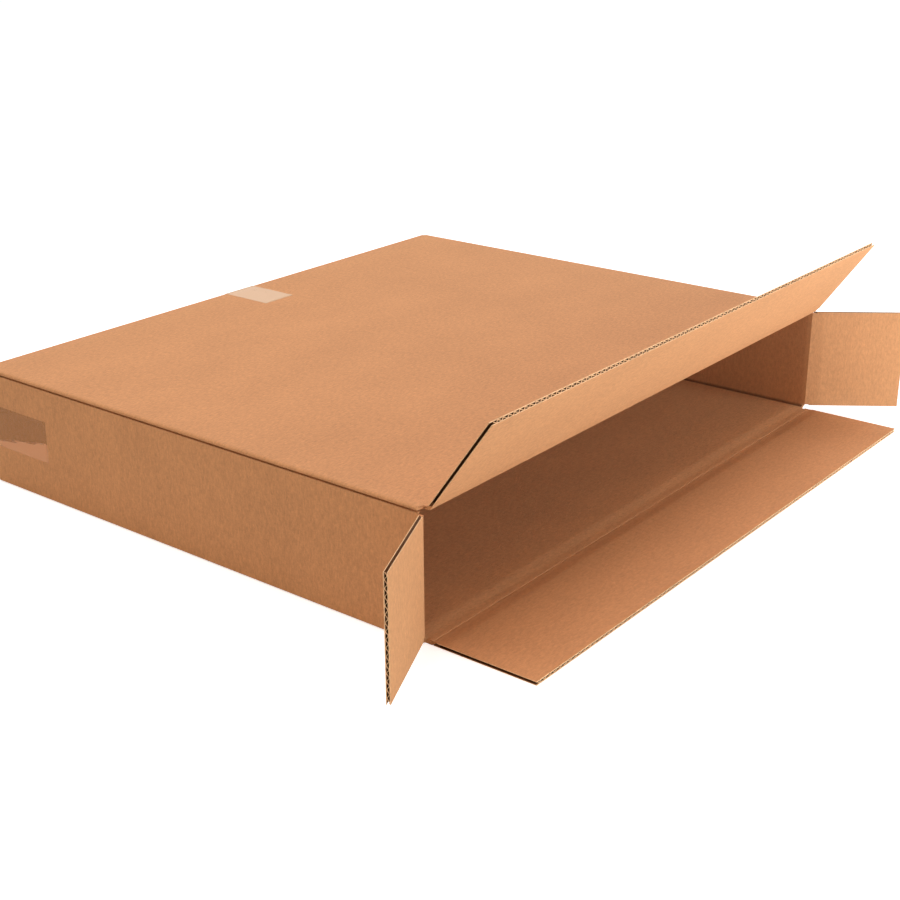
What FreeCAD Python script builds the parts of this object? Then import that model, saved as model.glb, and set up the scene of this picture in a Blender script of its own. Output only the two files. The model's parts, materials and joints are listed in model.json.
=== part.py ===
"""Shallow side-loading box of single-wall corrugated board, lying on its wide face.

The sleeve and its closed rear flaps are one folded sheet.  The four flaps of the open
end hinge on scored creases, and two strips of clear tape hold the rear flaps shut.
X runs along the opening, the opening faces -Y, and Z points up from the table.
The origin is the centre of the bottom panel's underside.
"""
import FreeCAD, Part
import os
import Sketcher
from FreeCAD import Placement, Rotation, Vector

doc = FreeCAD.newDocument("side_loading_box")

# Driving dimensions, in millimetres and degrees
SIZES = [
    ("inside_length", 762.0, "clear length inside, along the opening"),
    ("inside_height", 127.0, "clear height inside"),
    ("inside_depth", 610.0, "clear depth between the closed side flaps"),
    ("board", 4.0, "thickness of the corrugated board"),
    ("flap_length", 114.0, "every flap, from its crease to its free edge"),
    ("flap_inset", 6.5, "half the slot: each flap end, in from the corner fold"),
    ("play", 0.15, "half the gap left between two layers of board"),
    ("crease_gap", 0.4, "half the width of a score line on the outer liner"),
    ("fold_radius", 3.0, "outer radius of a corner fold"),
    ("crush_radius", 1.0, "inner radius of a corner fold"),
    ("flute_pitch", 7.8, "wave length of the corrugated medium"),
    ("liner", 0.4, "thickness of each facing sheet"),
    ("medium", 0.35, "thickness of the waved sheet"),
    ("crest_half", 0.55, "half the flat of a wave crest"),
    ("crush_zone", 7.0, "board crushed solid beside a crease"),
    ("edge_groove", 2.5, "depth of the cut flute along a slot edge"),
    ("slot_radius", 4.6, "radius of the rounded slot end"),
    ("slot_reach", 2.0, "slot end's centre, outside the side crease"),
    ("tab_width", 35.0, "glue tab inside the left panel"),
    ("tab_setback", 8.0, "glue tab's ends, in from the creases"),
    ("tab_taper", 6.0, "slant of each end of the glue tab"),
    ("lip_height", 3.6, "top panel's lip over the left panel's raw edge"),
    ("joint_gap", 1.8, "gap between that lip and the raw edge"),
    ("tape_width", 48.0, "both strips of tape"),
    ("tape_film", 0.1, "thickness of the tape"),
    ("seam_tape_lap", 98.0, "seam tape's reach along each side panel"),
    ("seam_tape_middle", 69.0, "height of the seam tape's middle"),
    ("cross_tape_lap", 74.0, "cross tape's reach over the top panel"),
    ("cross_tape_offset", 6.0, "cross tape's middle, right of the box's middle"),
    ("cross_tape_foot", 20.0, "height of the cross tape's lower end"),
    ("top_open", 54.8, "top flap's tilt up from straight out"),
    ("left_open", 65.3, "left flap's swing outward from straight out"),
    ("right_open", 35.4, "right flap's swing outward from straight out"),
]

sizes = doc.addObject("Spreadsheet::Sheet", "sizes")
for row, (alias, value, meaning) in enumerate(SIZES, start=1):
    sizes.set(f"A{row}", alias)
    sizes.set(f"B{row}", str(value))
    sizes.set(f"C{row}", meaning)
    sizes.setAlias(f"B{row}", alias)
doc.recompute()

# Sizes that follow from them, as expressions that the features share
half_length = "(sizes.inside_length / 2 + sizes.board)"
height = "(sizes.inside_height + 2 * sizes.board)"
half_depth = "(sizes.inside_depth / 2 + sizes.board + sizes.play)"
layer = "(sizes.board + 2 * sizes.play)"
top_crease = layer
bottom_crease = f"(2 * {layer})"
major_width = f"(2 * ({half_length} - sizes.flap_inset))"
minor_width = f"({height} - 2 * sizes.flap_inset)"
rear_face = f"({half_depth} + {bottom_crease} - sizes.play)"
foot_half = "(sizes.crest_half + sizes.medium / 2)"
edge_margin = "(sizes.edge_groove + sizes.medium)"


def value_of(expression):
    result = sizes.evalExpression(expression)
    return float(getattr(result, "Value", result))


def new_body(label):
    return doc.addObject("PartDesign::Body", label)


def new_sketch(body, name, role, offset="0"):
    """A sketch on one of the body's own origin planes, moved along the plane's normal."""
    sketch = body.newObject("Sketcher::SketchObject", name)
    plane = next(item for item in body.Origin.OriginFeatures if item.Role == role)
    sketch.AttachmentSupport = (plane, [""])
    sketch.MapMode = "FlatFace"
    sketch.setExpression("AttachmentOffset.Base.z", offset)
    return sketch


def add_outline(sketch, corners):
    """Draws a closed outline; each corner is a pair of expressions in the sketch's plane."""
    first = sketch.GeometryCount
    points = [Vector(value_of(across), value_of(up), 0) for across, up in corners]
    count = len(points)
    for index in range(count):
        sketch.addGeometry(Part.LineSegment(points[index], points[(index + 1) % count]), False)
    for index in range(count):
        edge = first + index
        following = first + (index + 1) % count
        sketch.addConstraint(Sketcher.Constraint("Coincident", edge, 2, following, 1))
    for index, corner in enumerate(corners):
        values = (("DistanceX", -2, points[index].x), ("DistanceY", -1, points[index].y))
        for expression, (kind, axis, place) in zip(corner, values):
            if expression == "0":
                sketch.addConstraint(
                    Sketcher.Constraint("PointOnObject", first + index, 1, axis))
                continue
            number = sketch.addConstraint(
                Sketcher.Constraint(kind, -1, 1, first + index, 1, place))
            sketch.setExpression(f"Constraints[{number}]", expression)


def add_pad(body, name, sketch, length, symmetric=False, backwards=False):
    pad = body.newObject("PartDesign::Pad", name)
    pad.Profile = sketch
    pad.setExpression("Length", length)
    pad.SideType = "Symmetric" if symmetric else "One side"
    pad.Reversed = backwards
    doc.recompute()
    return pad


def edges_at(shape, direction, places):
    """Names of the straight edges along a direction that pass through the given places."""
    names = []
    for number, edge in enumerate(shape.Edges, start=1):
        if not isinstance(edge.Curve, Part.Line):
            continue
        if abs(abs(edge.Curve.Direction.dot(direction)) - 1) > 1e-6:
            continue
        for place in places:
            offset = edge.Vertexes[0].Point - place
            if (offset - direction * offset.dot(direction)).Length < 1e-4:
                names.append(f"Edge{number}")
    return names


def round_folds(body, base, direction, outer, inner):
    """Rounds the outer and the inner side of the folds at the given places."""
    for name, radius, places in (("OuterFold", "sizes.fold_radius", outer),
                                 ("InnerFold", "sizes.crush_radius", inner)):
        if not places:
            continue
        fillet = body.newObject("PartDesign::Fillet", body.Label + name)
        fillet.Base = (base, edges_at(base.Shape, direction, places))
        fillet.setExpression("Radius", radius)
        doc.recompute()
        base = fillet


def make_sleeve():
    """The four panels between the creases: a rectangular tube with rounded folds."""
    body = new_body("sleeve")
    section = new_sketch(body, "SleeveSection", "XZ_Plane", half_depth + " - sizes.crease_gap")
    inner_half = "(sizes.inside_length / 2)"
    inner_top = f"({height} - sizes.board)"
    add_outline(section, [(f"-{half_length}", "0"), (half_length, "0"),
                          (half_length, height), (f"-{half_length}", height)])
    add_outline(section, [(f"-{inner_half}", "sizes.board"), (inner_half, "sizes.board"),
                          (inner_half, inner_top), (f"-{inner_half}", inner_top)])
    length = f"2 * {half_depth} - sizes.crease_gap - sizes.play"
    pad = add_pad(body, "SleevePad", section, length, backwards=True)
    out_x, out_z = value_of(half_length), value_of(height)
    in_x, low_z, high_z = value_of(inner_half), value_of("sizes.board"), value_of(inner_top)
    outer = [Vector(side * out_x, 0, z) for side in (-1, 1) for z in (0, out_z)]
    inner = [Vector(side * in_x, 0, z) for side in (-1, 1) for z in (low_z, high_z)]
    round_folds(body, pad, Vector(0, 1, 0), outer, inner)
    return body


def make_web(label, crease, outer_z, inner_z, flap_end_z):
    """A wide panel from its front crease to the closed rear flap that is folded from it."""
    body = new_body(label)
    profile = new_sketch(body, label + "Profile", "YZ_Plane")
    front = f"(-{half_depth} - {crease} + sizes.crease_gap)"
    back = f"({half_depth} + {crease} - sizes.play)"
    add_outline(profile, [(front, outer_z), (back, outer_z), (back, flap_end_z),
                          (f"{back} - sizes.board", flap_end_z),
                          (f"{back} - sizes.board", inner_z),
                          (f"{front} + sizes.board", inner_z)])
    pad = add_pad(body, label + "Pad", profile, major_width, symmetric=True)
    outer = [Vector(0, value_of(back), value_of(outer_z))]
    inner = [Vector(0, value_of(f"{back} - sizes.board"), value_of(inner_z))]
    round_folds(body, pad, Vector(1, 0, 0), outer, inner)
    return body


def make_rear_side_flap(label, side):
    """A narrow rear flap, folded in behind the wide ones from its side panel."""
    body = new_body(label)
    profile = new_sketch(body, label + "Profile", "XY_Plane", "sizes.flap_inset")
    back = f"({half_depth} - sizes.play)"
    outer_x = f"({side} * {half_length})"
    inner_x = f"({side} * (sizes.inside_length / 2))"
    end_x = f"({side} * ({half_length} - sizes.flap_length))"
    add_outline(profile, [(outer_x, "0"), (outer_x, back), (end_x, back),
                          (end_x, f"{back} - sizes.board"),
                          (inner_x, f"{back} - sizes.board"), (inner_x, "0")])
    pad = add_pad(body, label + "Pad", profile, minor_width)
    inner = [Vector(value_of(inner_x), value_of(f"{back} - sizes.board"), 0)]
    round_folds(body, pad, Vector(0, 0, 1), [], inner)
    return body


def make_glue_tab():
    """The tab that closes the sheet into a sleeve, glued inside the left panel."""
    body = new_body("glue_tab")
    outline = new_sketch(body, "GlueTabOutline", "YZ_Plane", "-(sizes.inside_length / 2)")
    root_z = f"({height} - sizes.board)"
    tip_z = f"({root_z} - sizes.tab_width)"
    root = f"({half_depth} - sizes.board - sizes.tab_setback)"
    tip = f"({root} - sizes.tab_taper)"
    add_outline(outline, [(f"-{root}", root_z), (f"-{tip}", tip_z), (tip, tip_z), (root, root_z)])
    add_pad(body, "GlueTabPad", outline, "sizes.board")
    return body


def make_mitre_cutter(label, side):
    """The wedge that bevels a side panel's front end, where its open flap hinges."""
    body = new_body(label)
    room = "(2 * sizes.play)"
    outline = new_sketch(body, label + "Outline", "XY_Plane", f"sizes.flap_inset - {room}")
    front = f"(-{half_depth} + sizes.crease_gap)"
    outer_x = f"({side} * {half_length})"
    inner_x = f"({side} * (sizes.inside_length / 2))"
    add_outline(outline, [(outer_x, front), (inner_x, front), (inner_x, f"{front} + sizes.board")])
    add_pad(body, label + "Pad", outline, f"{minor_width} + 2 * {room}")
    return body


def make_joint_cutter():
    """The gap between the top panel's lip and the raw upper edge of the left panel."""
    cutter = doc.addObject("Part::Box", "joint_gap")
    cutter.setExpression("Length", "2 * sizes.board")
    cutter.setExpression("Width", f"2 * {half_depth} + 2 * sizes.board")
    cutter.setExpression("Height", "sizes.joint_gap")
    cutter.setExpression("Placement.Base.x", f"-{half_length} - sizes.board")
    cutter.setExpression("Placement.Base.y", f"-{half_depth} - sizes.board")
    cutter.setExpression("Placement.Base.z", f"{height} - sizes.lip_height - sizes.joint_gap")
    return cutter


def make_fold_cutter(label, side):
    """Rounds the outside of the fold between a side panel and its closed rear flap."""
    block = doc.addObject("Part::Box", label + "_block")
    block.setExpression("Length", "sizes.fold_radius + sizes.board")
    block.setExpression("Width", "sizes.fold_radius + sizes.board")
    block.setExpression("Height", height)
    low_x = f"{half_length} - sizes.fold_radius" if side > 0 else f"-{half_length} - sizes.board"
    centre_y = f"{half_depth} - sizes.play - sizes.fold_radius"
    block.setExpression("Placement.Base.x", low_x)
    block.setExpression("Placement.Base.y", centre_y)
    fold = doc.addObject("Part::Cylinder", label + "_fold")
    fold.setExpression("Radius", "sizes.fold_radius")
    fold.setExpression("Height", height)
    fold.setExpression("Placement.Base.x", f"{side} * ({half_length} - sizes.fold_radius)")
    fold.setExpression("Placement.Base.y", centre_y)
    cutter = doc.addObject("Part::Cut", label)
    cutter.Base = block
    cutter.Tool = fold
    return cutter


def make_slot_end_cutter(label, side, end, z_edge, tilt):
    """A slot's rounded end: a short cylinder across the corner fold, along its bisector."""
    cutter = doc.addObject("Part::Cylinder", label)
    cutter.setExpression("Radius", "sizes.slot_radius")
    cutter.setExpression("Height", "8 * sizes.board")
    cutter.Placement = Placement(Vector(), Rotation(Vector(0, 1, 0), tilt))
    shift = "4 * sizes.board * sin(45 deg)"
    cutter.setExpression("Placement.Base.x", f"{side} * ({half_length} - {shift})")
    cutter.setExpression("Placement.Base.y", f"{end} * ({half_depth} + sizes.slot_reach)")
    towards = "-1" if z_edge != "0" else "1"
    cutter.setExpression("Placement.Base.z", f"{z_edge} + {towards} * {shift}")
    return cutter


def flute_count(width):
    return f"floor(({width} - 2 * {edge_margin} - sizes.flute_pitch / 2) / sizes.flute_pitch)"


def flute_start(width):
    return f"(-({flute_count(width)} + 0.5) * sizes.flute_pitch / 2)"


def cut_flutes(body, role, free_edge, outer_liner, inner_liner, width):
    """Opens the waves along a free edge, and the cut flute along each slot edge.

    The role names the plane of the free edge, and the two liners are given by their
    inward faces, across the board's thickness.
    """
    facing_away = role == "XZ_Plane"
    offset = f"-({free_edge})" if facing_away else free_edge
    rise = 1 if value_of(outer_liner) > value_of(inner_liner) else -1
    start = flute_start(width)
    pitch = "sizes.flute_pitch"
    depth = "sizes.flap_length - sizes.crush_zone"
    grooves = new_sketch(body, body.Label + "Grooves", role, offset)
    for side in ("-1", "1"):
        outer_x = f"{side} * {width} / 2"
        inner_x = f"{side} * ({width} / 2 - sizes.edge_groove)"
        add_outline(grooves, [(outer_x, inner_liner), (inner_x, inner_liner),
                              (inner_x, outer_liner), (outer_x, outer_liner)])
    add_pocket(body, "Slits", grooves, depth, facing_away)
    wave = new_sketch(body, body.Label + "Wave", role, offset)
    add_outline(wave, [
        (f"{start} + {foot_half}", inner_liner),
        (f"{start} + {pitch} - {foot_half}", inner_liner),
        (f"{start} + {pitch} / 2 + sizes.crest_half", f"{outer_liner} - {rise} * sizes.medium"),
        (f"{start} + {pitch} / 2 - sizes.crest_half", f"{outer_liner} - {rise} * sizes.medium")])
    add_outline(wave, [
        (f"{start} + {pitch} / 2 + {foot_half}", outer_liner),
        (f"{start} + {pitch} - sizes.crest_half", f"{inner_liner} + {rise} * sizes.medium"),
        (f"{start} + {pitch} + sizes.crest_half", f"{inner_liner} + {rise} * sizes.medium"),
        (f"{start} + {pitch} * 3 / 2 - {foot_half}", outer_liner)])
    flute = add_pocket(body, "Flute", wave, depth, facing_away)
    pattern = body.newObject("PartDesign::LinearPattern", body.Label + "Flutes")
    pattern.Originals = [flute]
    x_axis = next(item for item in body.Origin.OriginFeatures if item.Role == "X_Axis")
    pattern.Direction = (x_axis, [""])
    pattern.Mode = "Spacing"
    pattern.setExpression("Offset", pitch)
    pattern.setExpression("Occurrences", flute_count(width))
    pattern.Refine = False
    body.Tip = pattern
    doc.recompute()


def add_pocket(body, name, sketch, depth, backwards):
    pocket = body.newObject("PartDesign::Pocket", body.Label + name)
    pocket.Profile = sketch
    pocket.setExpression("Length", depth)
    pocket.Reversed = backwards
    doc.recompute()
    return pocket


def make_flap(label, width, pivot, base_axis, tilt_axis, tilt):
    """An open flap. In its own frame the pivot line is X and the free edge faces +Y.

    The pivot runs just outside the outer liner, so that the flap can close by a right
    angle and also fold back flat against the outside of its panel.
    """
    body = new_body(label)
    profile = new_sketch(body, label + "Profile", "YZ_Plane")
    outer_z = "(-sizes.play)"
    inner_z = "(-sizes.play - sizes.board)"
    add_outline(profile, [("sizes.crease_gap", outer_z), ("sizes.flap_length", outer_z),
                          ("sizes.flap_length", inner_z),
                          ("sizes.crease_gap + sizes.board", inner_z)])
    add_pad(body, label + "Board", profile, width, symmetric=True)
    cut_flutes(body, "XZ_Plane", "sizes.flap_length", f"({outer_z} - sizes.liner)",
               f"({inner_z} + sizes.liner)", width)
    body.setExpression("Placement", (
        f"placement(vector({'; '.join(pivot)});"
        f" rotation(vector({tilt_axis}); {tilt}) * rotation(vector({base_axis}); 180))"))
    doc.recompute()
    return body


def make_seam_tape():
    """The strip along the middle of the rear, taken round onto both side panels."""
    body = new_body("seam_tape")
    low = "sizes.seam_tape_middle - sizes.tape_width / 2"
    path = new_sketch(body, "SeamTapePath", "XY_Plane", low)
    fold = f"({half_depth} - sizes.play)"
    end_y = f"({fold} - sizes.seam_tape_lap)"
    turn_y = f"({fold} - sizes.fold_radius / 2)"
    corner_x = f"({half_length} - sizes.flap_inset)"
    inner = [(half_length, end_y), (half_length, turn_y), (corner_x, rear_face)]
    film = "sizes.tape_film"
    outer = [(f"{half_length} + {film}", end_y), (f"{half_length} + {film}", turn_y),
             (corner_x, f"{rear_face} + {film}")]
    right = inner[::-1] + outer
    left = [(f"-({x})", y) for x, y in outer[::-1] + inner]
    add_outline(path, right + left)
    add_pad(body, "SeamTapePad", path, "sizes.tape_width")
    return body


def make_cross_tape():
    """The strip over the middle of the rear edge, on top of the seam tape."""
    body = new_body("cross_tape")
    path = new_sketch(body, "CrossTapePath", "YZ_Plane", "sizes.cross_tape_offset")
    fold = f"({half_depth} + {top_crease} - sizes.play)"
    film = "sizes.tape_film"
    belt_top = "(sizes.seam_tape_middle + sizes.tape_width / 2)"
    belt_foot = "(sizes.seam_tape_middle - sizes.tape_width / 2)"
    end_y = f"{fold} - sizes.cross_tape_lap"
    add_outline(path, [
        (end_y, height), (f"{fold} - sizes.fold_radius / 2", height),
        (fold, f"{height} - sizes.fold_radius / 2"), (rear_face, "sizes.flap_length"),
        (rear_face, belt_top), (f"{rear_face} + {film}", belt_top),
        (f"{rear_face} + {film}", belt_foot), (rear_face, belt_foot),
        (rear_face, "sizes.cross_tape_foot"),
        (f"{rear_face} + {film}", "sizes.cross_tape_foot"),
        (f"{rear_face} + {film}", f"{belt_foot} - {film}"),
        (f"{rear_face} + 2 * {film}", f"{belt_foot} - {film}"),
        (f"{rear_face} + 2 * {film}", f"{belt_top} + {film}"),
        (f"{rear_face} + {film}", f"{belt_top} + {film}"),
        (f"{rear_face} + {film}", "sizes.flap_length"),
        (f"{fold} + {film}", f"{height} - sizes.fold_radius / 2"),
        (f"{fold} - sizes.fold_radius / 2", f"{height} + {film}"),
        (end_y, f"{height} + {film}")])
    add_pad(body, "CrossTapePad", path, "sizes.tape_width", symmetric=True)
    return body


def make_box_body():
    """The folded sheet: sleeve, glue tab and closed rear flaps, less slots and bevels."""
    sheet = doc.addObject("Part::MultiFuse", "sheet")
    sheet.Shapes = [
        make_sleeve(),
        make_web("bottom_web", bottom_crease, "0", "sizes.board", "sizes.flap_length"),
        make_web("top_web", top_crease, height, f"({height} - sizes.board)",
                 f"({height} - sizes.flap_length)"),
        make_rear_side_flap("left_rear_flap", "-1"),
        make_rear_side_flap("right_rear_flap", "1"),
        make_glue_tab()]
    sheet.Refine = True
    cutters = [make_mitre_cutter("left_mitre", "-1"), make_mitre_cutter("right_mitre", "1"),
               make_fold_cutter("left_rear_fold", -1), make_fold_cutter("right_rear_fold", 1),
               make_joint_cutter()]
    for side, end in ((-1, -1), (1, -1), (-1, 1), (1, 1)):
        name = f"slot_end_{'left' if side < 0 else 'right'}_{'front' if end < 0 else 'rear'}"
        cutters.append(make_slot_end_cutter(name + "_top", side, end, height, side * 45))
        cutters.append(make_slot_end_cutter(name + "_bottom", side, end, "0", side * 135))
    removed = doc.addObject("Part::MultiFuse", "removed")
    removed.Shapes = cutters
    slotted_sheet = doc.addObject("Part::Cut", "slotted_sheet")
    slotted_sheet.Base = sheet
    slotted_sheet.Tool = removed
    slotted_sheet.Refine = True
    doc.recompute()
    box_body = new_body("box_body")
    box_body.BaseFeature = slotted_sheet
    cut_flutes(box_body, "XY_Plane", "sizes.flap_length", f"({rear_face} - sizes.liner)",
               f"({rear_face} - sizes.board + sizes.liner)", major_width)
    return box_body


middle_height = f"({height} / 2)"
opening = f"-{half_depth}"
nodes = [
    make_box_body(),
    make_flap("top_flap", major_width,
              ("0", f"{opening} - {top_crease}", f"{height} + sizes.play"),
              "0; 0; 1", "1; 0; 0", "-sizes.top_open"),
    make_flap("bottom_flap", major_width,
              ("0", f"{opening} - {bottom_crease}", "-sizes.play"),
              "1; 0; 0", "1; 0; 0", "0"),
    make_flap("left_flap", minor_width,
              (f"-{half_length} - sizes.play", opening, middle_height),
              "1; 0; -1", "0; 0; 1", "-sizes.left_open"),
    make_flap("right_flap", minor_width,
              (f"{half_length} + sizes.play", opening, middle_height),
              "1; 0; 1", "0; 0; 1", "sizes.right_open"),
    make_seam_tape(),
    make_cross_tape(),
]
doc.recompute()

failed = [item.Label for item in doc.Objects
          if "Invalid" in item.State or "Error" in item.State]
failed += [item.Label for item in nodes
           if item.Shape.isNull() or not item.Shape.isValid() or len(item.Shape.Solids) != 1]
if failed:
    raise RuntimeError(f"these objects failed: {failed}")

os.makedirs("parts", exist_ok=True)
for item in nodes:
    item.Shape.exportStep(f"parts/{item.Label}.step")
    box = item.Shape.BoundBox
    print(f"{item.Label}: {item.Shape.Volume:.0f} mm3, X {box.XMin:.2f} to {box.XMax:.2f},"
          f" Y {box.YMin:.2f} to {box.YMax:.2f}, Z {box.ZMin:.2f} to {box.ZMax:.2f}")
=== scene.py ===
"""Dresses the shallow side loading box: board, creases, cut edges and clear tape."""
import json
import math

import bmesh
import bpy
from mathutils import Matrix, Vector, noise

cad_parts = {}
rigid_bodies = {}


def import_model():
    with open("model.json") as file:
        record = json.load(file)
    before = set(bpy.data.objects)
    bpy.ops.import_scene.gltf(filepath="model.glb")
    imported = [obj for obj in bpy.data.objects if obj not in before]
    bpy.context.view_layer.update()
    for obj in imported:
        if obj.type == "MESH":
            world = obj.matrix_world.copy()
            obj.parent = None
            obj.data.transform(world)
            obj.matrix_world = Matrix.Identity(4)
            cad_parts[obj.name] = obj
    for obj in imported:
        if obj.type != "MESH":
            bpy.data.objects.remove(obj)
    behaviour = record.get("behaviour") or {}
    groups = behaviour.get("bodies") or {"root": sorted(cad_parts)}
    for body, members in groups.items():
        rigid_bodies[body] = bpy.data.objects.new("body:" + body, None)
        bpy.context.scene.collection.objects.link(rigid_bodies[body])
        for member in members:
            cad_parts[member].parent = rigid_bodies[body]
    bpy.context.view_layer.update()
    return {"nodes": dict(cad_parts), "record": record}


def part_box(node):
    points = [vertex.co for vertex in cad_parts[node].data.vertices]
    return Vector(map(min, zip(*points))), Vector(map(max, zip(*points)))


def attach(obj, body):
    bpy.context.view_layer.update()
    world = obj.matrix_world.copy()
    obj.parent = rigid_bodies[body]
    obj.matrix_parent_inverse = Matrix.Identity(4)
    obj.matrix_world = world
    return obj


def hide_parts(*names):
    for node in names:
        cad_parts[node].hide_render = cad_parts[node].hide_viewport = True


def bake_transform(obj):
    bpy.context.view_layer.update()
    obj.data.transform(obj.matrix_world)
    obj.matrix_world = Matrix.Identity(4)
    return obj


for leftover in list(bpy.data.objects):
    bpy.data.objects.remove(leftover)
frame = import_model()

# Kraft paper: the facing sheets of the board, unbleached and matte.
# Its pressed fibres lie across the waves of the board, soft clouds show where the pulp is
# thicker, and the waves telegraph faintly through the sheet. Relief is in millimetres.
KRAFT = (0.640, 0.318, 0.152, 1)
SPECK = (0.30, 0.13, 0.055, 1)
SPECK_START, SPECK_END, SPECK_SHARE = 0.17, 0.30, 0.5
PAPER_ROUGHNESS = 0.88
SPECULAR = 0.25
WAVE_LENGTH = 0.0078
FIBRE_RELIEF = 0.10
FLOC_RELIEF = 0.16
PRESSED_WIDTH = 0.016
# Noise scale, stretch along each axis, detail, and share of the paper's unevenness
GRAIN = {
    "clouds": (8.0, (1, 1.6, 1), 3, 0.28),
    "flocs": (170.0, (1, 2.4, 1), 3, 0.60),
    "fibres": (360.0, (1, 6.0, 1), 3, 0.75),
    "cross_fibres": (300.0, (5.0, 1, 5.0), 2, 0.35),
}


def add_node(tree, kind, inputs=None, **settings):
    """Adds a node; each input is given as a value or as the socket that feeds it."""
    node = tree.nodes.new(kind)
    for name, value in settings.items():
        setattr(node, name, value)
    for key, value in (inputs or {}).items():
        if isinstance(value, bpy.types.NodeSocket):
            tree.links.new(value, node.inputs[key])
        else:
            node.inputs[key].default_value = value
    return node


def calculate(tree, operation, *values):
    """The result of a Math node on the given values or sockets."""
    return add_node(tree, "ShaderNodeMath", dict(enumerate(values)),
                    operation=operation).outputs[0]


def axes(tree, vector):
    """The X, Y and Z of a vector, as three sockets."""
    return add_node(tree, "ShaderNodeSeparateXYZ", {0: vector}).outputs


def stretched(tree, place, factors):
    return add_node(tree, "ShaderNodeVectorMath", {0: place, 1: factors},
                    operation="MULTIPLY").outputs[0]


def mottle(tree, place, scale, detail, roughness=0.5):
    """Soft noise between 0 and 1."""
    return add_node(tree, "ShaderNodeTexNoise",
                    {"Vector": place, "Scale": scale, "Detail": detail,
                     "Roughness": roughness}).outputs[0]


def ramp(tree, value, start, end, at_start, at_end, shape="LINEAR"):
    """Goes from one level to another while its input goes from start to end."""
    return add_node(tree, "ShaderNodeMapRange",
                    {0: value, 1: start, 2: end, 3: at_start, 4: at_end},
                    interpolation_type=shape).outputs[0]


def mixed(tree, share, first, second):
    """The first colour, with the given share of the second."""
    return add_node(tree, "ShaderNodeMix", {0: share, 6: first, 7: second},
                    data_type="RGBA").outputs[2]


def add_sockets(tree, inputs, outputs):
    for direction, sockets in (("INPUT", inputs), ("OUTPUT", outputs)):
        for name, kind in sockets.items():
            tree.interface.new_socket(name, in_out=direction, socket_type="NodeSocket" + kind)
    return tree.nodes.new("NodeGroupInput").outputs, tree.nodes.new("NodeGroupOutput").inputs


def make_paper_grain():
    """Clouds, flocs and fibres: a colour, and a height in millimetres."""
    tree = bpy.data.node_groups.new("paper_grain", "ShaderNodeTree")
    given, result = add_sockets(
        tree, {"Place": "Vector", "Across Waves": "Float", "Paper": "Color",
               "Unevenness": "Float", "Wave Height": "Float"},
        {"Color": "Color", "Height": "Float"})
    layers, uneven = {}, 0.0
    for name, (scale, stretch, detail, share) in GRAIN.items():
        texture = mottle(tree, stretched(tree, given["Place"], stretch), scale, detail)
        layers[name] = calculate(tree, "SUBTRACT", texture, 0.5)
        uneven = calculate(tree, "MULTIPLY_ADD", layers[name], share, uneven)
    strength = calculate(tree, "MULTIPLY_ADD", uneven, given["Unevenness"], 1.0)
    colour = add_node(tree, "ShaderNodeVectorMath", {0: given["Paper"], "Scale": strength},
                      operation="SCALE").outputs[0]
    specks = ramp(tree, layers["fibres"], SPECK_START, SPECK_END, 0.0, SPECK_SHARE)
    tree.links.new(mixed(tree, specks, colour, SPECK), result["Color"])
    wave = calculate(tree, "SINE", calculate(
        tree, "MULTIPLY", given["Across Waves"], math.tau / WAVE_LENGTH))
    relief = calculate(tree, "MULTIPLY", layers["flocs"], FLOC_RELIEF)
    relief = calculate(tree, "MULTIPLY_ADD", layers["fibres"], FIBRE_RELIEF, relief)
    relief = calculate(tree, "MULTIPLY_ADD", wave, given["Wave Height"], relief)
    tree.links.new(relief, result["Height"])
    return tree


paper_grain = make_paper_grain()


def add_grain(tree, place, across, paper, unevenness, wave_height):
    """The grain's colour and height; across is the coordinate that crosses the waves."""
    return add_node(tree, "ShaderNodeGroup",
                    {"Place": place, "Across Waves": across, "Paper": paper,
                     "Unevenness": unevenness, "Wave Height": wave_height},
                    node_tree=paper_grain).outputs


def new_material(name, roughness):
    material = bpy.data.materials.new(name)
    material.use_nodes = True
    tree = material.node_tree
    shader = next(node for node in tree.nodes if node.type == "BSDF_PRINCIPLED")
    shader.inputs["Roughness"].default_value = roughness
    shader.inputs["Specular IOR Level"].default_value = SPECULAR
    return material, tree, shader


def add_relief(tree, shader, height):
    """Bumps the surface by a height in millimetres."""
    bump = add_node(tree, "ShaderNodeBump", {"Height": height, "Distance": 0.001})
    tree.links.new(bump.outputs[0], shader.inputs["Normal"])


def place_on_blank(tree):
    """Where a point lies on the flat board, as its mesh carries it."""
    return add_node(tree, "ShaderNodeAttribute", attribute_name="board_place").outputs["Vector"]


def make_board_paper(name, paper, unevenness, wave_height=0.0, pressed_depth=0.0):
    """Paper for a flap or a crease; it sinks by the pressed depth towards its crease."""
    material, tree, shader = new_material(name, PAPER_ROUGHNESS)
    place = place_on_blank(tree)
    across, from_crease, _ = axes(tree, place)
    grain = add_grain(tree, place, across, paper, unevenness, wave_height)
    tree.links.new(grain["Color"], shader.inputs["Base Color"])
    pressed = ramp(tree, from_crease, 0.0, PRESSED_WIDTH, -pressed_depth, 0.0, "SMOOTHSTEP")
    add_relief(tree, shader, calculate(tree, "ADD", pressed, grain["Height"]))
    return material


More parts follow.
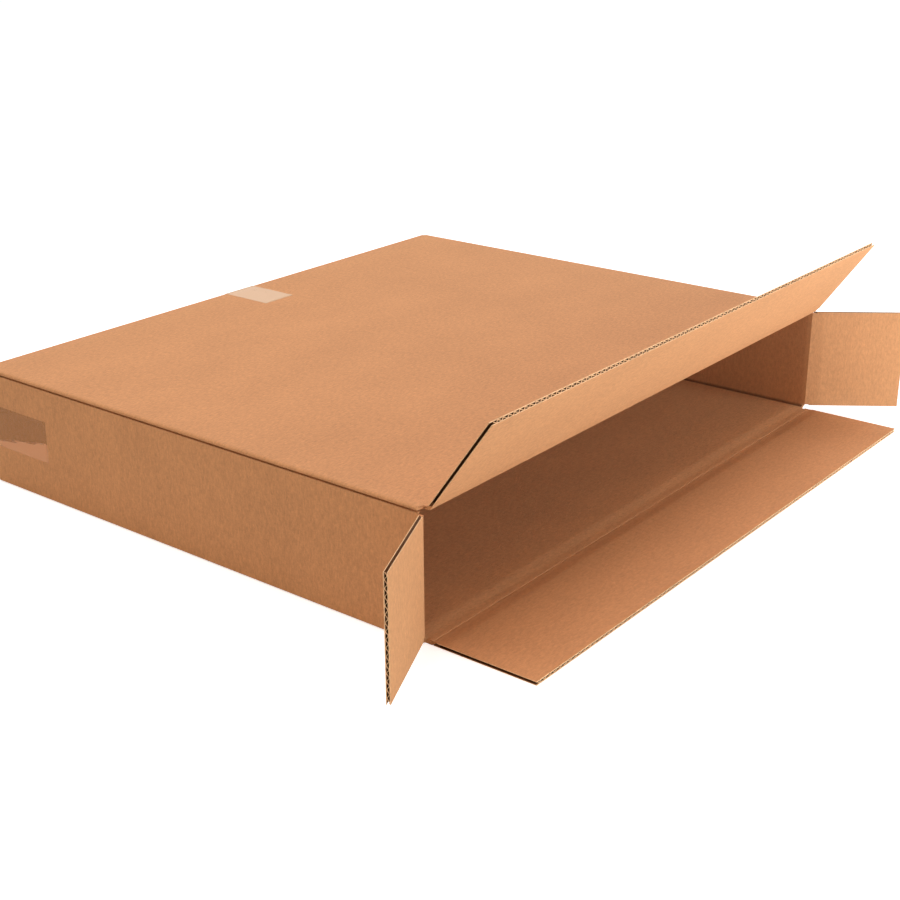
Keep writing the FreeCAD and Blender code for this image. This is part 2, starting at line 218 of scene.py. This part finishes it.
# Sleeve: the four panels and the closed rear flaps, one folded and glued sheet.
# Its shape is the CAD node's, and the grain follows each panel. The glued joint on the
# left panel has a soft painted shade under its lip, and painted shade darkens the
# inner bottom corners.
JOINT_SHADE = (0.20, 0.09, 0.035, 1)
JOINT_SHARE = 0.35
RAW_EDGE_TOP = 0.1290
SHADE_TOP = 0.1345
LEFT_FACE = -0.3835
CORNER_SHADE = (0.12, 0.05, 0.02, 1)
CORNER_SHADE_SHARE = 0.75
INNER_CORNER_X, INNER_CORNER_Z = 0.381, 0.004
CORNER_SHADE_START, CORNER_SHADE_END = 0.0008, 0.0039
BOTTOM_FOLD_Y = -0.3115
BOTTOM_PRESSED_WIDTH = 0.020
BOTTOM_PRESSED_DEPTH = 1.3
BOTTOM_PANEL_TOP = 0.006


def make_sleeve_paper():
    material, tree, shader = new_material("sleeve_kraft", PAPER_ROUGHNESS)
    coordinates = add_node(tree, "ShaderNodeTexCoord").outputs
    place = coordinates["Object"]
    x, y, z = axes(tree, place)
    facing_x = axes(tree, coordinates["Normal"])[0]
    sideways = calculate(tree, "GREATER_THAN", calculate(tree, "ABSOLUTE", facing_x), 0.5)
    across = add_node(tree, "ShaderNodeMix", {0: sideways, 2: x, 3: z}).outputs[0]
    grain = add_grain(tree, place, across, KRAFT, unevenness=0.70, wave_height=0.012)
    # Painted shade under the lip of the glued joint, darkest just above the raw edge and fading
    # up the lip.
    shade = ramp(tree, z, RAW_EDGE_TOP, SHADE_TOP, JOINT_SHARE, 0.0, "SMOOTHSTEP")
    at_joint = calculate(tree, "MULTIPLY", calculate(tree, "GREATER_THAN", z, RAW_EDGE_TOP),
                         calculate(tree, "LESS_THAN", x, LEFT_FACE))
    shaded = mixed(tree, calculate(tree, "MULTIPLY", shade, at_joint), grain["Color"],
                   JOINT_SHADE)
    # Painted shade along the inner bottom corners, where the floor meets the side walls.
    away_x = calculate(tree, "SUBTRACT", calculate(tree, "ABSOLUTE", x), INNER_CORNER_X)
    away_z = calculate(tree, "SUBTRACT", z, INNER_CORNER_Z)
    offset = add_node(tree, "ShaderNodeCombineXYZ", {0: away_x, 2: away_z}).outputs[0]
    away = add_node(tree, "ShaderNodeVectorMath", {0: offset},
                    operation="LENGTH").outputs["Value"]
    corner_shade = ramp(tree, away, CORNER_SHADE_START, CORNER_SHADE_END, CORNER_SHADE_SHARE, 0.0)
    tree.links.new(mixed(tree, corner_shade, shaded, CORNER_SHADE), shader.inputs["Base Color"])
    pressed = ramp(tree, y, BOTTOM_FOLD_Y, BOTTOM_FOLD_Y + BOTTOM_PRESSED_WIDTH,
                   -BOTTOM_PRESSED_DEPTH, 0.0, "SMOOTHSTEP")
    on_bottom = calculate(tree, "LESS_THAN", z, BOTTOM_PANEL_TOP)
    relief = calculate(tree, "MULTIPLY_ADD", pressed, on_bottom, grain["Height"])
    add_relief(tree, shader, relief)
    return material


def dress(piece, material):
    piece.data.materials.clear()
    piece.data.materials.append(material)


dress(frame["nodes"]["box_body"], make_sleeve_paper())

# Open flaps: single wall board, two facing sheets with a waved sheet glued between them.
# The waves run from the crease to the free edge, where their ends show, and a cut wave
# leaves a slit along each slot edge. The board is crushed solid beside the crease.
BOARD = 0.004
FLAP_LENGTH = 0.114
LINER = 0.00065
MEDIUM = 0.00055
PLAY = 0.00015
CREASE_GAP = 0.0004
CRUSHED = 0.007
SETBACK = 0.0003
CORE_INSET = 0.0008
LINER_COLUMNS_PER_WAVE = 3
POINTS_PER_WAVE = 12
DRIFT_SCALE = 60.0
DRIFT_ANGLE = 2.4
LINER_TEAR_SCALE, LINER_TEAR = 330.0, 0.0005
MEDIUM_TEAR_SCALE, MEDIUM_TEAR = 200.0, 0.0006
LIT_START, LIT_END = FLAP_LENGTH - 0.0018, FLAP_LENGTH - 0.0008
FACES_UP, FACES_END = 0.3, 0.7
CUT_PAPER = (0.90, 0.58, 0.34, 1)
# Painted shade: the dark of the waved sheet deep inside the board, of the liners' covered faces
# and of the crushed core.
FLUTE_SHADE = (0.13, 0.055, 0.022, 1)

board_face = make_board_paper("flap_kraft", KRAFT, unevenness=0.58, wave_height=0.020,
                              pressed_depth=1.1)
cut_edge = make_board_paper("cut_board_edge", CUT_PAPER, unevenness=1.2)


def make_waved_paper():
    """The waved sheet: painted light, pale where light reaches its cut end, and painted shade,
    dark further in.
    """
    material, tree, shader = new_material("waved_medium", PAPER_ROUGHNESS)
    from_crease = axes(tree, place_on_blank(tree))[1]
    near_end = ramp(tree, from_crease, LIT_START, LIT_END, 0.0, 1.0)
    tree.links.new(mixed(tree, near_end, FLUTE_SHADE, CUT_PAPER), shader.inputs["Base Color"])
    return material


flute_shade_and_light = make_waved_paper()


def make_corrugated_flap_tree():
    """A flap in its own frame: crease along X at Y = 0, outer face up."""
    tree = bpy.data.node_groups.new("corrugated_flap", "GeometryNodeTree")
    given, result = add_sockets(
        tree, {"Geometry": "Geometry", "Width": "Float", "Length": "Float", "Side Slit": "Float",
               "Seed": "Float"},
        {"Geometry": "Geometry"})
    width, length = given["Width"], given["Length"]

    def vector(x=0.0, y=0.0, z=0.0):
        return add_node(tree, "ShaderNodeCombineXYZ", {0: x, 1: y, 2: z}).outputs[0]

    def position():
        return add_node(tree, "GeometryNodeInputPosition").outputs[0]

    def moved(geometry, offset):
        return add_node(tree, "GeometryNodeSetPosition",
                        {"Geometry": geometry, "Offset": offset}).outputs[0]

    def thickened(sheet, thickness):
        """Closes an open sheet into a thin solid, from its own level upwards."""
        raised = add_node(tree, "GeometryNodeExtrudeMesh",
                          {"Mesh": sheet, "Offset": vector(0, 0, 1), "Offset Scale": thickness,
                           "Individual": False}, mode="FACES").outputs[0]
        underside = add_node(tree, "GeometryNodeFlipFaces", {0: sheet}).outputs[0]
        both = add_node(tree, "GeometryNodeJoinGeometry")
        tree.links.new(raised, both.inputs[0])
        tree.links.new(underside, both.inputs[0])
        return add_node(tree, "GeometryNodeMergeByDistance",
                        {"Geometry": both.outputs[0], "Distance": 1e-6}).outputs[0]

    def ragged(scale, amount):
        """An uneven offset along the free edge, zero elsewhere."""
        x, y, _ = axes(tree, position())
        uneven = mottle(tree, vector(x, given["Seed"]), scale, 2)
        at_end = calculate(tree, "GREATER_THAN", y, calculate(tree, "MULTIPLY", length, 0.5))
        depth = calculate(tree, "MULTIPLY", calculate(tree, "MULTIPLY", uneven, at_end), -amount)
        return vector(0.0, depth)

    def liner(start, level):
        reach = calculate(tree, "SUBTRACT", length, start)
        columns = calculate(tree, "DIVIDE", width, WAVE_LENGTH / LINER_COLUMNS_PER_WAVE)
        grid = add_node(tree, "GeometryNodeMeshGrid",
                        {"Size X": width, "Size Y": reach, "Vertices X": columns,
                         "Vertices Y": 2}).outputs[0]
        middle = calculate(tree, "MULTIPLY_ADD", reach, 0.5, start)
        placed = moved(grid, vector(0.0, middle, level))
        return thickened(moved(placed, ragged(LINER_TEAR_SCALE, LINER_TEAR)), LINER)

    outer = liner(CREASE_GAP + SETBACK, -PLAY - LINER)
    inner = liner(CREASE_GAP + BOARD, -PLAY - BOARD)

    run = calculate(tree, "MULTIPLY_ADD", given["Side Slit"], -2.0, width)
    points = calculate(tree, "DIVIDE", run, WAVE_LENGTH / POINTS_PER_WAVE)
    step = calculate(tree, "DIVIDE", run, calculate(tree, "SUBTRACT", points, 1.0))
    first = calculate(tree, "MULTIPLY", run, -0.5)
    line = add_node(tree, "GeometryNodeMeshLine",
                    {"Count": points, "Start Location": vector(first, CRUSHED),
                     "Offset": vector(step)}).outputs[0]
    along = axes(tree, position())[0]
    drift = mottle(tree, vector(along, given["Seed"]), DRIFT_SCALE, 2)
    phase = calculate(tree, "MULTIPLY_ADD", along, math.tau / WAVE_LENGTH,
                      calculate(tree, "MULTIPLY", drift, DRIFT_ANGLE))
    amplitude = (BOARD - 2 * LINER - MEDIUM) / 2
    rise = calculate(tree, "MULTIPLY", calculate(tree, "SINE", phase), amplitude)
    level = calculate(tree, "ADD", rise, -PLAY - BOARD / 2 - MEDIUM / 2)
    waved_line = moved(line, vector(0.0, 0.0, level))
    sheet_length = calculate(tree, "SUBTRACT", length, CRUSHED + SETBACK)
    sheet = add_node(tree, "GeometryNodeExtrudeMesh",
                     {"Mesh": waved_line, "Offset": vector(0, 1, 0),
                      "Offset Scale": sheet_length},
                     mode="EDGES").outputs[0]
    medium = thickened(moved(sheet, ragged(MEDIUM_TEAR_SCALE, MEDIUM_TEAR)), MEDIUM)

    core_width = calculate(tree, "SUBTRACT", width, CORE_INSET)
    core = add_node(tree, "GeometryNodeMeshCube",
                    {"Size": vector(core_width, CRUSHED, BOARD - 2 * LINER)}).outputs[0]
    _, core_y, core_z = axes(tree, position())
    bevel = calculate(tree, "MULTIPLY", calculate(tree, "LESS_THAN", core_y, 0.0),
                      calculate(tree, "MULTIPLY_ADD", core_z, -1.0, BOARD / 2))
    core = moved(core, vector(0.0, bevel))
    core = moved(core, vector(0.0, CREASE_GAP + CRUSHED / 2, -PLAY - BOARD / 2))

    def painted(geometry, material, selection=None):
        inputs = {"Geometry": geometry, "Material": material}
        if selection is not None:
            inputs["Selection"] = selection
        return add_node(tree, "GeometryNodeSetMaterial", inputs).outputs[0]

    facing = add_node(tree, "GeometryNodeInputNormal").outputs[0]
    _, towards_end, facing_up = axes(tree, facing)
    cut_side = calculate(tree, "LESS_THAN", calculate(tree, "ABSOLUTE", facing_up), FACES_UP)
    everything = add_node(tree, "GeometryNodeJoinGeometry")
    # The liners' covered faces and the crushed core take the painted shade of the board's
    # inside.
    for facing_sheet, inside in ((outer, -1.0), (inner, 1.0)):
        covered = calculate(tree, "GREATER_THAN", calculate(
            tree, "MULTIPLY", facing_up, inside), FACES_UP)
        faced = painted(painted(facing_sheet, board_face), flute_shade_and_light, covered)
        tree.links.new(painted(faced, cut_edge, cut_side), everything.inputs[0])
    cut_end = calculate(tree, "GREATER_THAN", towards_end, FACES_END)
    tree.links.new(painted(painted(medium, flute_shade_and_light), cut_edge, cut_end),
                   everything.inputs[0])
    tree.links.new(painted(core, flute_shade_and_light), everything.inputs[0])
    named = add_node(tree, "GeometryNodeStoreNamedAttribute",
                     {"Geometry": everything.outputs[0], "Name": "board_place",
                      "Value": position()},
                     data_type="FLOAT_VECTOR", domain="POINT").outputs[0]
    final = add_node(tree, "GeometryNodeRealizeInstances", {0: named}).outputs[0]
    tree.links.new(final, result["Geometry"])
    return tree


corrugated_flap = make_corrugated_flap_tree()
fold_lines = {joint["child"]: Vector(joint["pos_m"])
              for joint in frame["record"]["behaviour"]["joints"]}

WIDE, NARROW = 0.757, 0.122
SEED_STEP = 1.7
# Width, slit at each slot edge, base axis, tilt axis, and tilt in degrees
FLAPS = {
    "top_flap": (WIDE, 0.0050, (0, 0, 1), (1, 0, 0), -54.8),
    "bottom_flap": (WIDE, 0.0012, (1, 0, 0), (1, 0, 0), 0.0),
    "left_flap": (NARROW, 0.0003, (1, 0, -1), (0, 0, 1), -65.3),
    "right_flap": (NARROW, 0.0012, (1, 0, 1), (0, 0, 1), 35.4),
}


def turned(base_axis, tilt_axis, tilt):
    """Half a turn about the base axis, then the tilt: a flap's own frame put in place."""
    return (Matrix.Rotation(math.radians(tilt), 4, Vector(tilt_axis))
            @ Matrix.Rotation(math.pi, 4, Vector(base_axis)))


def applied(piece):
    """Turns a piece's modifiers into a plain mesh."""
    graph = bpy.context.evaluated_depsgraph_get()
    mesh = bpy.data.meshes.new_from_object(piece.evaluated_get(graph))
    piece.modifiers.clear()
    piece.data = mesh


def new_piece(name, mesh=None):
    piece = bpy.data.objects.new(name, mesh or bpy.data.meshes.new(name))
    bpy.context.scene.collection.objects.link(piece)
    return piece


def make_flap(body, seed):
    """Builds a flap and sets it on its fold line."""
    width, slit, base_axis, tilt_axis, tilt = FLAPS[body]
    piece = new_piece(body + "_board")
    modifier = piece.modifiers.new("board", "NODES")
    modifier.node_group = corrugated_flap
    values = {"Width": width, "Length": FLAP_LENGTH, "Side Slit": slit, "Seed": seed}
    for socket in corrugated_flap.interface.items_tree:
        if socket.in_out == "INPUT" and socket.name in values:
            modifier[socket.identifier] = values[socket.name]
    applied(piece)
    stand = turned(base_axis, tilt_axis, tilt)
    piece.data.transform(Matrix.Translation(fold_lines[body]) @ stand)
    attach(piece, body)
    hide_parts(body)


for flap_number, flap_body in enumerate(FLAPS):
    make_flap(flap_body, SEED_STEP * flap_number)

# Creases: the scored band of board that each open flap turns on.
# The board is pressed there, so its inner sheet dips into a groove beside a low ridge. The
# band is one piece with both sides, and bends between the sleeve and its flap.
crease_paper = make_board_paper("pressed_crease", KRAFT, unevenness=0.7)
BEVEL_EDGE = Vector((CREASE_GAP + BOARD, PLAY + BOARD))
# Share of the way from the sleeve to the flap, and dip in millimetres
BAND = [(0.00, 0.0), (0.20, 0.02), (0.34, 0.04), (0.44, 0.08), (0.50, 0.16), (0.55, 0.30),
        (0.60, 0.26), (0.70, 0.12), (0.84, 0.04), (1.00, 0.0)]
END_GAP = 0.0012
STEP_LENGTH = 0.006
FULLNESS = 0.75
TAUT_ANGLE = 45.0
LEAST_SLACK = 0.15
WANDER_SCALE, WANDER_SHARE = 90, 0.25
TUCKED_SHARE = 0.02
CORE_RADIUS = CREASE_GAP * 0.8


def set_outward(mesh):
    """Makes every face of a closed mesh point outwards."""
    shell = bmesh.new()
    shell.from_mesh(mesh)
    bmesh.ops.recalc_face_normals(shell, faces=shell.faces)
    shell.to_mesh(mesh)
    shell.free()


def make_crease(body):
    """A wedge round the fold line, from the sleeve's bevel to the flap's.

    Its profile lies between the shortest way across and the full thickness of the board,
    and the less the flap is turned from straight, the deeper it dips.
    """
    width, _, base_axis, tilt_axis, tilt = FLAPS[body]
    stand = turned(base_axis, tilt_axis, tilt).to_3x3()
    straight = turned(base_axis, tilt_axis, 0).to_3x3()
    flap_side = stand @ Vector((0, BEVEL_EDGE.x, -BEVEL_EDGE.y))
    sleeve_side = straight @ Vector((0, -BEVEL_EDGE.x, -BEVEL_EDGE.y))
    lengthwise = straight @ Vector((1, 0, 0))
    spread = sleeve_side.angle(flap_side)
    turn = sleeve_side.cross(flap_side).normalized()
    half_straight = math.atan2(BEVEL_EDGE.x, BEVEL_EDGE.y)
    taut = BEVEL_EDGE.length * math.cos(spread / 2)
    slack = max(LEAST_SLACK, 1.0 - abs(tilt) / TAUT_ANGLE)
    tucked_radius = BEVEL_EDGE.length - LINER
    steps = max(2, round(width / STEP_LENGTH))
    verts, faces, places = [], [], []
    ring = len(BAND) + 3
    for step in range(steps + 1):
        along = (width - 2 * END_GAP) * (step / steps - 0.5)
        wander = noise.noise(Vector((along * WANDER_SCALE, width, 0)))
        profile = [(-TUCKED_SHARE, tucked_radius)]
        for share, dip in BAND:
            taut_radius = taut / math.cos(spread * (share - 0.5))
            from_side = spread * min(share, 1 - share)
            full_radius = BEVEL_EDGE.y / math.cos(from_side - half_straight)
            radius = taut_radius + FULLNESS * (full_radius - taut_radius)
            radius -= slack * dip * (1 + WANDER_SHARE * wander) / 1000
            profile.append((share, radius))
        profile += [(1 + TUCKED_SHARE, tucked_radius), (0.5, CORE_RADIUS)]
        for share, radius in profile:
            ray = Matrix.Rotation(spread * share, 3, turn) @ sleeve_side.normalized()
            verts.append(fold_lines[body] + ray * radius + lengthwise * along)
            places.append((along, radius * (2 * share - 1), radius))
    for step in range(steps):
        for place in range(ring):
            following = (place + 1) % ring
            faces.append((step * ring + place, step * ring + following,
                          (step + 1) * ring + following, (step + 1) * ring + place))
    faces += [tuple(range(ring)), tuple(range(steps * ring, (steps + 1) * ring))]
    mesh = bpy.data.meshes.new(body + "_crease")
    mesh.from_pydata(verts, [], faces)
    attribute = mesh.attributes.new("board_place", "FLOAT_VECTOR", "POINT")
    for item, place in zip(attribute.data, places):
        item.vector = place
    set_outward(mesh)
    piece = new_piece(body + "_crease", mesh)
    dress(piece, crease_paper)
    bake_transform(piece)


for flap_body in FLAPS:
    make_crease(flap_body)

# Tape: clear film, 48 mm wide, that holds the rear flaps shut.
# Where its glue has wetted the paper it is clear and darkens it, and where air is left
# under it, it looks milky. Its ends are cut on a toothed blade.
TAPE_WIDTH = 0.048
FILM = 0.00006
CAD_FILM = 0.0001
TOOTH = 0.0012
TOOTH_TIP, TOOTH_ROOT = 0.35, -0.25
TEAR_SCALE, TEAR = 120, 0.0008
ROW_LENGTH = 0.005
LIFT = 0.00004
WRINKLE_SCALE, WRINKLE = 45, 0.00006
TAPE_ROUGHNESS = 0.32
GLOSS_SHARE, GLOSS_ROUGHNESS = 0.15, 0.10
BONDED = (0.22, 0.10, 0.035, 1)
BONDED_ALPHA = 0.12
PATCH_STRETCH = (1.0, 0.22, 1.6)
PATCH_SCALE, PATCH_ROUGHNESS, PATCH_BLUR = 95.0, 0.7, 0.05
SPLIT_BLUR, SPLIT_SHARE = 0.010, 0.42
LINE_SCALE, LINE_RELIEF = 220.0, 0.05


def make_tape_film(name, milk, milky_alpha, threshold, split=None):
    """Film that is clear where it is bonded, and milky where its noise is past a threshold.

    The split is a line's height at Y = 0 and its slope: above it the film is bonded, and
    below it milky.
    """
    material, tree, shader = new_material(name, TAPE_ROUGHNESS)
    shader.inputs["Coat Weight"].default_value = GLOSS_SHARE
    shader.inputs["Coat Roughness"].default_value = GLOSS_ROUGHNESS
    place = add_node(tree, "ShaderNodeTexCoord").outputs["Object"]
    drawn_out = stretched(tree, place, PATCH_STRETCH)
    level = mottle(tree, drawn_out, PATCH_SCALE, 5, PATCH_ROUGHNESS)
    if split is not None:
        _, y, z = axes(tree, place)
        line_height = calculate(tree, "MULTIPLY_ADD", y, split[1], split[0])
        above_line = calculate(tree, "SUBTRACT", z, line_height)
        side = ramp(tree, above_line, -SPLIT_BLUR, SPLIT_BLUR, SPLIT_SHARE, -SPLIT_SHARE)
        level = calculate(tree, "ADD", level, side)
    unbonded = ramp(tree, level, threshold - PATCH_BLUR, threshold + PATCH_BLUR, 0.0, 1.0)
    tree.links.new(mixed(tree, unbonded, BONDED, milk), shader.inputs["Base Color"])
    alpha = ramp(tree, unbonded, 0.0, 1.0, BONDED_ALPHA, milky_alpha)
    tree.links.new(alpha, shader.inputs["Alpha"])
    lines = mottle(tree, drawn_out, LINE_SCALE, 2)
    add_relief(tree, shader, calculate(tree, "MULTIPLY", lines, LINE_RELIEF))
    return material


def make_tape(name, node, path, widthwise, film):
    """A strip along a path of points, lifted a little and wrinkled, with toothed ends."""
    columns = round(TAPE_WIDTH / TOOTH) * 2
    rows = []
    for start, end in zip(path, path[1:]):
        pieces = max(1, round((end - start).length / ROW_LENGTH))
        rows += [start.lerp(end, step / pieces) for step in range(pieces)]
    rows.append(path[-1])
    verts, faces = [], []
    for index, middle in enumerate(rows):
        before, after = rows[max(index - 1, 0)], rows[min(index + 1, len(rows) - 1)]
        along = (after - before).normalized()
        outward = along.cross(widthwise).normalized()
        for column in range(columns + 1):
            place = middle + widthwise * TAPE_WIDTH * (column / columns - 0.5)
            lift = LIFT + WRINKLE * max(0.0, noise.noise(place * WRINKLE_SCALE))
            if index in (0, len(rows) - 1):
                bite = TOOTH * (TOOTH_TIP if column % 2 else TOOTH_ROOT)
                bite += TEAR * noise.noise(place * TEAR_SCALE)
                place += along * (bite if index else -bite)
            verts.append(place + outward * lift)
    across = columns + 1
    for row in range(len(rows) - 1):
        for column in range(columns):
            corner = row * across + column
            faces.append((corner, corner + 1, corner + across + 1, corner + across))
    mesh = bpy.data.meshes.new(name)
    mesh.from_pydata(verts, [], faces)
    piece = new_piece(name, mesh)
    solid = piece.modifiers.new("film", "SOLIDIFY")
    solid.thickness = FILM
    solid.offset = -1.0
    applied(piece)
    set_outward(piece.data)
    piece.data.shade_smooth()
    dress(piece, film)
    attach(piece, "sleeve")
    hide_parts(node)


low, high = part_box("seam_tape")
belt_z = (low.z + high.z) / 2
side_x, slot_x, turn_y = high.x - CAD_FILM, 0.3785, 0.3075
right_side = [(slot_x, high.y), (side_x, turn_y), (side_x, low.y)]
left_side = [(-x, y) for x, y in reversed(right_side)]
belt = [Vector((x, y, belt_z)) for x, y in left_side + right_side]
side_film = make_tape_film("seam_tape_film", (1.0, 0.54, 0.29, 1), milky_alpha=0.46,
                           threshold=0.50, split=(0.105, -0.18))
make_tape("seam_tape_strip", "seam_tape", belt, Vector((0, 0, -1)), side_film)

low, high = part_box("cross_tape")
strap_x = (low.x + high.x) / 2
fold_start_y, fold_end_y, fold_end_z = 0.3118, 0.3134, 0.1336
strap = [Vector((strap_x, y, z)) for y, z in (
    (low.y, high.z), (fold_start_y, high.z), (fold_end_y, fold_end_z),
    (high.y, FLAP_LENGTH), (high.y, low.z))]
top_film = make_tape_film("cross_tape_film", (1.0, 0.72, 0.47, 1), milky_alpha=0.56,
                          threshold=0.31)
make_tape("cross_tape_strip", "cross_tape", strap, Vector((-1, 0, 0)), top_film)

# Floor: a plain white studio table that keeps a faint shadow of the box.
# Only the camera sees its glow, which grows to full white away from the box.
FLOOR_WHITE = (0.86, 0.86, 0.86, 1)
FLOOR_ROUGHNESS = 0.9
FLOOR_REACH = 14.0
FLOOR_LEVEL = -0.0003
GLOW_START, GLOW_END = 0.9, 2.4
NEAR_GLOW, FAR_GLOW = 0.66, 1.0


def make_floor():
    material, tree, shader = new_material("studio_white", FLOOR_ROUGHNESS)
    shader.inputs["Base Color"].default_value = FLOOR_WHITE
    shader.inputs["Specular IOR Level"].default_value = 0.0
    place = add_node(tree, "ShaderNodeTexCoord").outputs["Object"]
    distance = add_node(tree, "ShaderNodeVectorMath", {0: place}, operation="LENGTH").outputs[1]
    strength = ramp(tree, distance, GLOW_START, GLOW_END, NEAR_GLOW, FAR_GLOW)
    glow = add_node(tree, "ShaderNodeEmission", {"Color": (1, 1, 1, 1), "Strength": strength})
    brighter = add_node(tree, "ShaderNodeAddShader", {0: shader.outputs[0], 1: glow.outputs[0]})
    seen = add_node(tree, "ShaderNodeLightPath").outputs["Is Camera Ray"]
    lit = add_node(tree, "ShaderNodeMixShader",
                   {0: seen, 1: shader.outputs[0], 2: brighter.outputs[0]})
    output = next(node for node in tree.nodes if node.type == "OUTPUT_MATERIAL")
    tree.links.new(lit.outputs[0], output.inputs[0])
    mesh = bpy.data.meshes.new("floor")
    corners = [(x * FLOOR_REACH, y * FLOOR_REACH, FLOOR_LEVEL)
               for x, y in ((-1, -1), (1, -1), (1, 1), (-1, 1))]
    mesh.from_pydata(corners, [], [(0, 1, 2, 3)])
    floor = new_piece("floor", mesh)
    dress(floor, material)


make_floor()

# Light: square soft boxes round the table, and a small card before the opening.
# They alone light the box: the room is white only to the camera and in reflections.
OPENING = (0, -0.1, 0.05)
BOTTOM_FLAP = (0.3, -0.3, 0.05)
# Name, place, what it is aimed at, size, power and colour
LAMPS = [
    ("rear_box", (0.0, 1.93, 2.3), OPENING, 2.0, 25.0, (0.89, 1.0, 0.97)),
    ("top_box", (0.0, -0.05, 3.0), OPENING, 2.0, 43.0, (1.0, 0.90, 0.915)),
    ("front_box", (0.26, -2.92, 0.62), OPENING, 2.0, 14.0, (1.0, 1.0, 0.80)),
    ("table_bounce", (0.0, -2.99, 0.26), OPENING, 2.0, 61.0, (0.91, 1.0, 1.0)),
    ("left_box", (-2.81, 0.2, 1.03), OPENING, 2.0, 10.5, (1.0, 0.954, 0.686)),
    ("high_left_box", (-1.9, -0.33, 2.3), OPENING, 2.0, 22.2, (1.0, 0.743, 0.554)),
    ("right_box", (2.6, 0.0, 1.5), OPENING, 2.0, 24.0, (0.98, 0.98, 1.0)),
    ("near_card", (0.45, -1.0, 0.10), BOTTOM_FLAP, 0.5, 3.2, (0.93, 1.0, 1.0)),
]

for lamp_name, lamp_place, lamp_target, lamp_size, lamp_power, lamp_colour in LAMPS:
    lamp = bpy.data.lights.new(lamp_name, "AREA")
    lamp.size = lamp_size
    lamp.energy = lamp_power
    lamp.color = lamp_colour
    holder = bpy.data.objects.new(lamp_name, lamp)
    holder.location = lamp_place
    aim = Vector(lamp_target) - Vector(lamp_place)
    holder.rotation_euler = aim.to_track_quat("-Z", "Y").to_euler()
    bpy.context.scene.collection.objects.link(holder)

world = bpy.data.worlds.new("room")
world.use_nodes = True
bpy.context.scene.world = world
room = world.node_tree
room.nodes.clear()
rays = add_node(room, "ShaderNodeLightPath").outputs
shows_white = calculate(room, "MAXIMUM", rays["Is Camera Ray"], calculate(
    room, "MAXIMUM", rays["Is Glossy Ray"], rays["Is Transmission Ray"]))
white = add_node(room, "ShaderNodeBackground", {0: (1, 1, 1, 1), 1: shows_white})
add_node(room, "ShaderNodeOutputWorld", {0: white.outputs[0]})

# Camera: off the opening's left corner, two thirds of a metre above the table.
# It looks down across the top panel and into the opening.
camera = bpy.data.cameras.new("camera")
camera.sensor_width = 36.0
camera.lens = 59.822
camera.clip_start, camera.clip_end = 0.05, 60.0
viewer = bpy.data.objects.new("camera", camera)
viewer.location = (-1.29204, -1.06152, 0.66168)
viewer.rotation_euler = [math.radians(angle) for angle in (68.1167, 0.2488, -51.7402)]
bpy.context.scene.collection.objects.link(viewer)
bpy.context.scene.camera = viewer
bpy.context.scene.view_settings.view_transform = "Standard"
